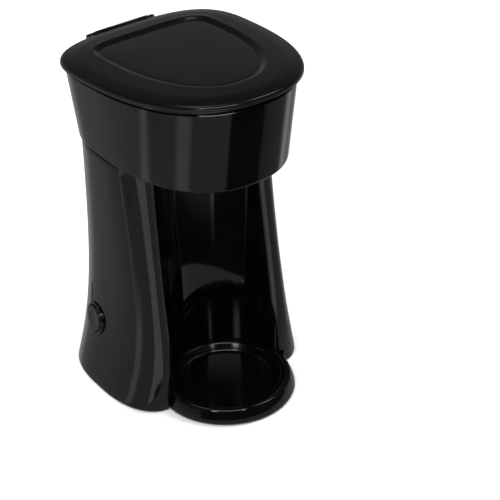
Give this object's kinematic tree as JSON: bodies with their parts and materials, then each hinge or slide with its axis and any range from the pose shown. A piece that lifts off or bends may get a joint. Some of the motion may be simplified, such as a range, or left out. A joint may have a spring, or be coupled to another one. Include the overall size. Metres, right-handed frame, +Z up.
{
  "type": "drip coffee maker",
  "caption": "Compact single-serve drip coffee maker with a waisted housing, open mug bay, round tray platform, tilted hinged lid and side power button.",
  "frame": {"origin": "middle of the footprint, on the plane the rubber feet stand on", "axes": "+Z up, -Y out of the front where the cup stands, +X to the right seen from the front"},
  "size_m": [0.1556, 0.1848, 0.269],
  "materials": {
    "m_base_plate": "matte moulded",
    "m_base_screw_1": "plain",
    "m_base_screw_2": "plain",
    "m_base_screw_3": "plain",
    "m_base_screw_4": "plain",
    "m_bay_liner": "glossy moulded",
    "m_brew_basket": "semi-gloss moulded",
    "m_cord_gland": "matte",
    "m_drip_tray": "glossy moulded",
    "m_head_floor": "glossy moulded",
    "m_heater_block": "extruded",
    "m_heater_hose": "translucent silicone",
    "m_heater_strap": "plain",
    "m_heater_tube": "extruded",
    "m_heating_bar": "plain",
    "m_hinge_pin": "plain",
    "m_hose_clamp_1": "plain",
    "m_hose_clamp_2": "plain",
    "m_hose_clamp_3": "plain",
    "m_hose_clamp_4": "plain",
    "m_lid": "semi-gloss moulded",
    "m_lid_liner": "matte moulded",
    "m_lower_housing": "glossy moulded",
    "m_mesh_filter": "plain",
    "m_outlet_spout": "semi-gloss moulded",
    "m_riser_hose": "translucent silicone",
    "m_rubber_foot_1": "matte",
    "m_rubber_foot_2": "matte",
    "m_rubber_foot_3": "matte",
    "m_rubber_foot_4": "matte",
    "m_shower_head": "semi-gloss moulded",
    "m_spray_arm": "semi-gloss moulded",
    "m_switch_bezel": "semi-gloss moulded",
    "m_switch_body": "matte moulded",
    "m_switch_button": "glossy moulded",
    "m_tank_hose": "translucent silicone",
    "m_tank_seal": "matte",
    "m_thermal_fuse": "plain",
    "m_thermostat": "unglazed ceramic look",
    "m_top_deck": "semi-gloss moulded",
    "m_tray_platform": "glossy moulded",
    "m_upper_housing": "glossy moulded",
    "m_valve_ball": "unglazed ceramic look",
    "m_valve_body": "semi-gloss moulded",
    "m_water_tank": "smoked"
  },
  "bodies": {
    "machine": {"base_plate": "m_base_plate", "base_screw_1": "m_base_screw_1", "base_screw_2": "m_base_screw_2", "base_screw_3": "m_base_screw_3", "base_screw_4": "m_base_screw_4", "bay_liner": "m_bay_liner", "brew_basket": "m_brew_basket", "cord_gland": "m_cord_gland", "head_floor": "m_head_floor", "heater_block": "m_heater_block", "heater_hose": "m_heater_hose", "heater_strap": "m_heater_strap", "heater_tube": "m_heater_tube", "heating_bar": "m_heating_bar", "hinge_pin": "m_hinge_pin", "hose_clamp_1": "m_hose_clamp_1", "hose_clamp_2": "m_hose_clamp_2", "hose_clamp_3": "m_hose_clamp_3", "hose_clamp_4": "m_hose_clamp_4", "lower_housing": "m_lower_housing", "mesh_filter": "m_mesh_filter", "outlet_spout": "m_outlet_spout", "riser_hose": "m_riser_hose", "rubber_foot_1": "m_rubber_foot_1", "rubber_foot_2": "m_rubber_foot_2", "rubber_foot_3": "m_rubber_foot_3", "rubber_foot_4": "m_rubber_foot_4", "shower_head": "m_shower_head", "spray_arm": "m_spray_arm", "switch_bezel": "m_switch_bezel", "switch_body": "m_switch_body", "tank_hose": "m_tank_hose", "tank_seal": "m_tank_seal", "thermal_fuse": "m_thermal_fuse", "thermostat": "m_thermostat", "top_deck": "m_top_deck", "tray_platform": "m_tray_platform", "upper_housing": "m_upper_housing", "valve_body": "m_valve_body", "water_tank": "m_water_tank"},
    "lid": {"lid": "m_lid", "lid_liner": "m_lid_liner"},
    "power_button": {"switch_button": "m_switch_button"},
    "tray": {"drip_tray": "m_drip_tray"},
    "check_ball": {"valve_ball": "m_valve_ball"}
  },
  "joints": [
    {"name": "lid_hinge", "type": "hinge", "parent": "machine", "child": "lid", "pos_m": [0, 0.0892, 0.244], "axis": [-1, 0, 0], "range_deg": [0, 100]},
    {"name": "power_button_press", "type": "slide", "parent": "machine", "child": "power_button", "axis": [0.988, -0.0988, -0.1186], "range_m": [0, 0.0022], "stiffness_N_per_m": 400, "springref_m": -0.002},
    {"name": "drip_tray_lift", "type": "slide", "parent": "machine", "child": "tray", "axis": [0, 0, 1], "range_m": [0, 0.06]},
    {"name": "check_ball_lift", "type": "slide", "parent": "machine", "child": "check_ball", "axis": [0, 0, 1], "range_m": [0, 0.009]}
  ]
}
